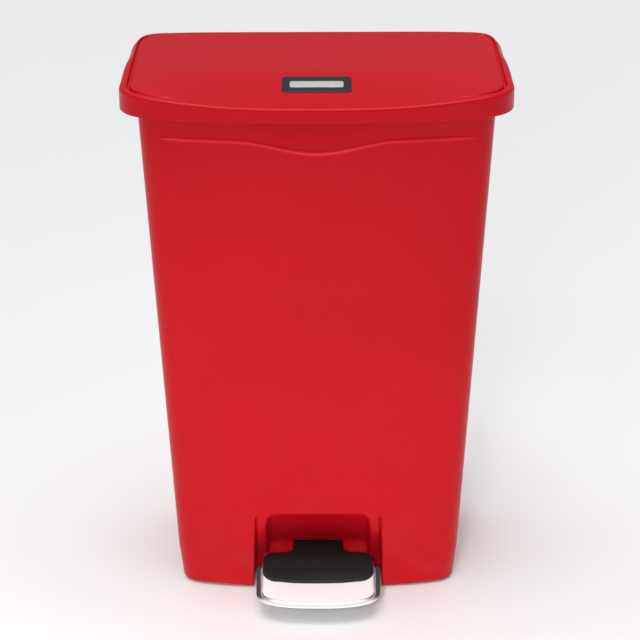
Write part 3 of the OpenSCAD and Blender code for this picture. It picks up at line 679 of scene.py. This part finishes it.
def makeLid(s=lidSet):
    bm = bmesh.new()
    rings = [lidRing(1.0, level=0.0), lidRing(0.3, level=0.02), lidRing(0, level=0.06)]
    rings += [lidRing(0, level=t) for t in (0.12, 0.3, 0.5, 0.7, 0.88, 1.0)]
    rings += [lidRing(d) for d in lidInsets]
    loft(bm, rings, capLast=True)
    outward(bm)
    cap = max(bm.faces, key=lambda f: len(f.verts))
    for vert in gridCap(bm, cap, range(-240, 241, 16), range(-112, 172, 9)):
        vert.co.z = lidTop(vert.co.x / mm, vert.co.y / mm) * mm
    for f in list(bm.faces):  # the skirt is cut away behind the hinges and the crank
        c = f.calc_center_median() / mm
        atCut = abs(c.x) < s["crankCut"] or s["hingeCut"][0] < abs(c.x) < s["hingeCut"][1]
        if c.y > 200 and c.z < s["cutHigh"] and atCut:
            bm.faces.remove(f)
    bmesh.ops.delete(bm, geom=[e for e in bm.edges if not e.link_faces], context="EDGES")
    bmesh.ops.delete(bm, geom=[v for v in bm.verts if not v.link_faces], context="VERTS")
    finishPiece(bm, "lidShell", ["lid_shell"], wall=s["wall"] * mm, levels=1, sharp=0)


makeLid()
print("lid made")

badgeSet = {"w": 101.0, "d": 56.0, "y": -64.0, "inlayW": 78.0, "inlayD": 22.0}


def roundRect(w, d, r, count=6):
    points = []
    for sx, sy, start in ((1, -1, -90), (1, 1, 0), (-1, 1, 90), (-1, -1, 180)):
        for i in range(count + 1):
            a = radians(start + 90 * i / count)
            points.append((sx * (w / 2 - r) + r * cos(a), sy * (d / 2 - r) + r * sin(a)))
    return points


def onLid(points, lift, s=badgeSet):
    # a flat outline laid on the lid's slope
    tilt = (lidTop(0, s["y"] + 20) - lidTop(0, s["y"] - 20)) / 40
    return [vec(x, s["y"] + y, lidTop(0, s["y"]) + y * tilt + lift) for x, y in points]


def badgeRing(grow, r, lift, s=badgeSet):
    return onLid(roundRect(s["w"] + grow, s["d"] + grow, r), lift)


def wellRing(grow, r, lift, s=badgeSet):
    return onLid(roundRect(s["inlayW"] + grow, s["inlayD"] + grow, r), lift)


def makeBadge():
    # each row has how much wider the ring is, its corner radius and its height over the lid
    rim = [(-1, 7.5, -1.0), (0, 8, -0.8), (0, 8, 0.7), (-0.5, 7.8, 1.1), (-1.6, 7.2, 1.3), (-5, 5.5, 1.3),
           (-6, 5, 1.0), (-8, 4, 1.0)]
    well = [(1.6, 4.6, 1.0), (0.4, 4.2, 0.8), (0.4, 4.2, 0.2)]
    bm = bmesh.new()
    loft(bm, [badgeRing(*row) for row in rim] + [wellRing(*row) for row in well], True, True)
    bmesh.ops.recalc_face_normals(bm, faces=bm.faces)
    finishPiece(bm, "lidBadge", ["lid_badge"], sharp=50)
    inlay = [(0, 4, 0.25), (0, 4, 0.75), (-0.6, 3.7, 1.0), (-1.6, 3.2, 1.1)]
    bm = bmesh.new()
    loft(bm, [wellRing(*row) for row in inlay], True, True)
    bmesh.ops.recalc_face_normals(bm, faces=bm.faces)
    finishPiece(bm, "badgeInlay", ["badge_inlay"], sharp=50)


makeBadge()
print("badge made")

pedalSet = {"half": 96.0, "front": -204.25, "back": -74.0, "bow": 14.0, "corner": 38.0, "rearCorner": 9.0,
            "flare": 0.018, "rimZ": 32.0, "rimLow": 29.4, "rimWide": 8.9, "deckZ": 44.4, "deckHalf": 85.5,
            "deckFront": -145.0, "deckBack": -60.0, "rollFrom": -124.0, "rollLength": 25.5, "rollDrop": 4.4,
            "sheet": 1.8, "neckHalf": 36.0, "neckLength": 46.0, "neckEnd": -17.0}


def padRoll(y, s=pedalSet):
    # how far the pad and the plate under it bend down towards the front
    return s["rollDrop"] * max(0.0, (s["rollFrom"] - y) / s["rollLength"]) ** 1.3


def pedalFlat(inset, s=pedalSet):
    flat = outline(s["half"] - inset, s["front"] + inset, s["back"] - inset, s["bow"], s["corner"] - inset,
                   max(s["rearCorner"] - inset, 4), evenX(28), innerX(16), 8, 4)
    return [(x * (1 + s["flare"] * smooth((y + 165) / 75)), y) for x, y in flat]


def deckFlat(inset, s=pedalSet):
    return outline(s["deckHalf"] - inset, s["deckFront"] + inset, s["deckBack"] - inset, 6, 24 - inset / 2,
                   8 - inset / 4, evenX(28), innerX(16), 8, 4)


def makePedalPlate(s=pedalSet):
    bm = bmesh.new()
    rim, top = s["rimZ"], s["deckZ"]
    lowest = s["rimLow"]
    steps = [(0.9, lowest), (0.3, lowest + 0.3), (0, lowest + 0.9), (0, rim - 1.3), (0.35, rim - 0.5),
             (1.0, rim - 0.12), (2.0, rim), (4.5, rim), (6.6, rim - 0.1), (7.3, rim - 1.0), (7.8, rim - 1.3),
             (8.3, rim - 1.0), (s["rimWide"], rim + 0.1)]
    rings = [[vec(x, y, z) for x, y in pedalFlat(d)] for d, z in steps]
    low, high = pedalFlat(s["rimWide"]), deckFlat(0)
    for t in (0.08, 0.25, 0.45, 0.65, 0.82, 0.93):
        rise = 1 - (1 - t) ** 1.25
        rings.append([vec(mix(a[0], b[0], t), mix(a[1], b[1], t), mix(rim, top - padRoll(b[1]), rise))
                      for a, b in zip(low, high)])
    rings += [[vec(x, y, top - padRoll(y)) for x, y in deckFlat(d)] for d in (0, 3)]
    loft(bm, rings, capLast=True)
    outward(bm, 2, False)
    cap = max(bm.faces, key=lambda f: len(f.verts))
    for vert in gridCap(bm, cap, (), range(-142, -118, 4)):
        vert.co.z = (top - padRoll(vert.co.y / mm)) * mm
    neck = bmesh.ops.create_cube(bm, size=1)["verts"]
    bmesh.ops.scale(bm, vec=vec(2 * s["neckHalf"], s["neckLength"], 0.1), verts=neck)
    bmesh.ops.translate(bm, vec=vec(0, s["neckEnd"] - s["neckLength"] / 2, top - 0.1), verts=neck)
    finishPiece(bm, "pedalPlate", ["pedal_plate"], wall=s["sheet"] * mm, sharp=0)


def treadEdge(s):
    # right half of the pad's outline, from the middle of its front to the end of its neck
    right = [(60 * i / 14, s["front"] + 4 * (i / 14) ** 3) for i in range(15)]

    def corner(cx, cy, r, a, b, n=9):
        for i in range(n + 1):
            t = radians(mix(a, b, i / n))
            right.append((cx + r * cos(t), cy + r * sin(t)))
    corner(62, s["front"] + 28.5, 25, -76, 0)
    corner(67, -80, 19.5, 3, 80)
    corner(57, -41, 19.2, 262, 182)
    right += [(37.8, -32), (37.8, -19)]
    return right + [(-x, y) for x, y in reversed(right[1:])]


def offsetFlat(points, d):
    # moves each point of a closed outline inwards by d
    out = []
    count = len(points)
    for i in range(count):
        a, b = Vector(points[i - 1]), Vector(points[(i + 1) % count])
        along = (b - a).normalized()
        out.append((points[i][0] - along.y * d, points[i][1] + along.x * d))
    return out


treadSet = {"low": 43.9, "top": 48.5, "front": -147.2}


def makeTread(s=treadSet):
    bm = bmesh.new()
    edge = treadEdge(s)
    steps = [(0.4, 0.0), (0, 0.35), (0, 0.5), (0.35, 0.74), (1.0, 0.9), (2.0, 0.98), (3.2, 1.0)]
    rings = [[vec(x, y, mix(s["low"], s["top"], t)) for x, y in offsetFlat(edge, d)] for d, t in steps]
    loft(bm, rings, True, True)
    for y in range(-146, -121, 2):
        whole = list(bm.verts) + list(bm.edges) + list(bm.faces)
        bmesh.ops.bisect_plane(bm, geom=whole, plane_co=vec(0, y, 0), plane_no=(0, 1, 0))
    for vert in bm.verts:  # the front of the pad rolls down over the plate
        vert.co.z -= padRoll(vert.co.y / mm) * mm
    bmesh.ops.recalc_face_normals(bm, faces=bm.faces)
    bmesh.ops.triangulate(bm, faces=[f for f in bm.faces if len(f.verts) > 4])
    finishPiece(bm, "pedalTread", ["pedal_tread"], sharp=35)


makePedalPlate()
makeTread()
print("pedal made")

linerSet = {"half": 232.0, "front": -108.0, "back": 150.0, "kneeZ": 152.0, "footZ": 68.0, "wall": 2.4,
            "taperFrom": 770.0, "taper": 618.0}
linerGrid = (evenX(28), innerX(16), 8, 4)


def linerFlat(z, inset, s=linerSet):
    # the plan at a height, which shrinks to the foot and steps back below the knee, over the pedal works
    down = (s["taperFrom"] - z) / s["taper"]
    if z >= s["kneeZ"]:
        return outline(s["half"] - 28 * down - inset, s["front"] + 22 * down + inset,
                       s["back"] - 3 * down - inset, 14, 40 - inset, 40 - inset, *linerGrid)
    t = (s["kneeZ"] - z) / (s["kneeZ"] - s["footZ"])
    low = outline(200 - inset, -8 + inset, 146 - inset, 0.1, 30 - inset, 30 - inset, *linerGrid)
    return [(mix(a[0], b[0], t), mix(a[1], b[1], t)) for a, b in zip(linerFlat(s["kneeZ"], inset), low)]


def makeLiner(s=linerSet):
    # height and inset of each ring: up the outside, over the rolled lip and down the inside
    w = s["wall"]
    foot = s["footZ"]
    plan = [(foot, 12), (foot, 5), (foot + 1.4, 1.6), (foot + 4.5, 0.2), (74, 0), (110, 0), (145, 0),
            (152, 0), (160, 0), (300, 0), (450, 0), (600, 0), (740, 0), (744, -1.2), (748, -1.2),
            (752, 0), (769, 0)]
    plan += [(771.5, -0.6), (773.2, -2.5), (773.2, -6.2), (774, -7), (775.2, -7), (776, -6.2), (776, -1),
             (775.4, w - 0.8), (773, w)]
    plan += [(752, w), (748, w - 1.2), (744, w - 1.2), (740, w), (600, w), (450, w), (300, w), (160, w),
             (153.5, w), (148, w), (110, w), (76, w), (72, w + 1.2), (70.6, w + 4), (70.4, w + 12)]
    bm = bmesh.new()
    loft(bm, [[vec(x, y, z) for x, y in linerFlat(z, d)] for z, d in plan], True, True)
    bmesh.ops.recalc_face_normals(bm, faces=bm.faces)
    finishPiece(bm, "rigidLiner", ["rigid_liner"], sharp=50)


makeLiner()
print("liner made")


def softCopy(node, width, reshape=None):
    # a CAD piece with its loose triangles welded and its hard edges rounded
    bm = bmesh.new()
    bm.from_mesh(nodes[node].data)
    bmesh.ops.remove_doubles(bm, verts=bm.verts, dist=1e-6)
    if reshape:
        reshape(bm)
    bmesh.ops.dissolve_limit(bm, angle_limit=radians(1.0), verts=bm.verts, edges=bm.edges)
    hard = [e for e in bm.edges if len(e.link_faces) == 2 and e.calc_face_angle(0) > radians(32)]
    bmesh.ops.bevel(bm, geom=hard, offset=width * mm, offset_type="OFFSET", segments=2, profile=0.5,
                    affect="EDGES", clamp_overlap=True, material=-1)
    words = node.split("_")
    name = words[0] + "".join(w.capitalize() for w in words[1:])
    finishPiece(bm, name, [node], sharp=40)


# how wide the rounding of each piece's edges is
softWidths = {"lid_panel": 0.8, "base_pan": 0.8, "channel_cover": 0.6, "rod_guide_low": 0.5,
              "rod_guide_mid": 0.5, "rod_guide_high": 0.5, "axle_bracket_left": 0.4,
              "axle_bracket_right": 0.4, "hinge_bracket_left": 0.5, "hinge_bracket_right": 0.5,
              "damper_clamps": 0.3, "damper_cap": 0.5, "damper_cylinder": 0.6, "knuckle_left": 0.6,
              "knuckle_right": 0.6, "lid_crank": 0.4, "pedal_lever": 0.4, "push_rod": 0.5,
              "rod_head": 0.6, "rod_foot": 0.6, "damper_arm": 0.4, "pedal_axle": 0.4,
              "hinge_pin_left": 0.5, "hinge_pin_right": 0.5, "crank_pin": 0.4, "lever_pin": 0.5,
              "damper_piston": 0.4, "foot_front_left": 0.8, "foot_front_right": 0.8,
              "foot_rear_left": 0.8, "foot_rear_right": 0.8, "buffer_front_left": 0.8,
              "buffer_front_right": 0.8, "buffer_rear_left": 0.8, "buffer_rear_right": 0.8,
              "lever_bush_left": 0.3, "lever_bush_right": 0.3, "hinge_bush_left": 0.25,
              "hinge_bush_right": 0.25, "axle_clip_left": 0.15, "axle_clip_right": 0.15,
              "base_screws": 0.25, "ring_screws": 0.25, "channel_screws": 0.2, "bracket_screws": 0.25,
              "hinge_screws": 0.25, "lid_screws": 0.25, "pedal_rivets": 0.25, "rod_rivets": 0.25}
for nodeName, width in softWidths.items():
    softCopy(nodeName, width)


ringSet = {"round": 0.6, "frontEdge": -117.0, "giveWay": 7.5}


def clearScoop(bm):
    # the front of the top ring gives way to the finger scoop
    for vert in bm.verts:
        x, y = vert.co.x / mm, vert.co.y / mm
        if y < ringSet["frontEdge"]:
            vert.co.y += ringSet["giveWay"] * (1 - smooth((abs(x) - 40) / 80)) * mm


softCopy("top_ring", ringSet["round"], reshape=clearScoop)
print("hardware made")


stageSet = {"floor": linear(240, 240, 240), "world": (0.82, 0.84, 0.87, 1.0), "worldPower": 0.28,
            "sunPower": 2.3, "sunSpread": 50, "sunTowards": (0.04, 0.02, -1)}


def makeFloorPlane(s=stageSet):
    bm = bmesh.new()
    bmesh.ops.create_grid(bm, x_segments=2, y_segments=2, size=14)
    mesh = bpy.data.meshes.new("studioFloor")
    bm.to_mesh(mesh)
    bm.free()
    floor = bpy.data.objects.new("studioFloor", mesh)
    bpy.context.scene.collection.objects.link(floor)
    mat, tree, shader = startMaterial("studioFloor")
    shader.inputs["Base Color"].default_value = s["floor"]
    shader.inputs["Roughness"].default_value = 0.7
    mesh.materials.append(mat)


def makeSun(s=stageSet):
    data = bpy.data.lights.new("overhead", "SUN")
    data.energy = s["sunPower"]
    data.angle = radians(s["sunSpread"])
    lamp = bpy.data.objects.new("overhead", data)
    lamp.rotation_euler = Vector(s["sunTowards"]).to_track_quat("-Z", "Y").to_euler()
    bpy.context.scene.collection.objects.link(lamp)


def makeLight(name, power, size, stand, target, glossy=True, spread=180):
    data = bpy.data.lights.new(name, "AREA")
    data.energy = power
    data.shape = "SQUARE"
    data.size = size
    data.spread = radians(spread)
    lamp = bpy.data.objects.new(name, data)
    lamp.location = stand
    lamp.rotation_euler = (Vector(target) - Vector(stand)).to_track_quat("-Z", "Y").to_euler()
    lamp.visible_camera = False
    lamp.visible_glossy = glossy
    bpy.context.scene.collection.objects.link(lamp)


def makeWorld(s=stageSet):
    world = bpy.data.worlds.new("studioWorld")
    world.use_nodes = True
    background = world.node_tree.nodes["Background"]
    background.inputs["Color"].default_value = s["world"]
    background.inputs["Strength"].default_value = s["worldPower"]
    bpy.context.scene.world = world


makeFloorPlane()
makeSun()
makeLight("keyLight", 9, 0.5, (-0.8, -2.2, 3.1), (0, 0, 0.4))
makeLight("lowFill", 2.2, 0.5, (-0.3, -2.6, 1.5), (0, -0.05, 0.02), glossy=False, spread=42)
makeWorld()
bpy.context.scene.view_settings.view_transform = "Standard"
print("stage ready")
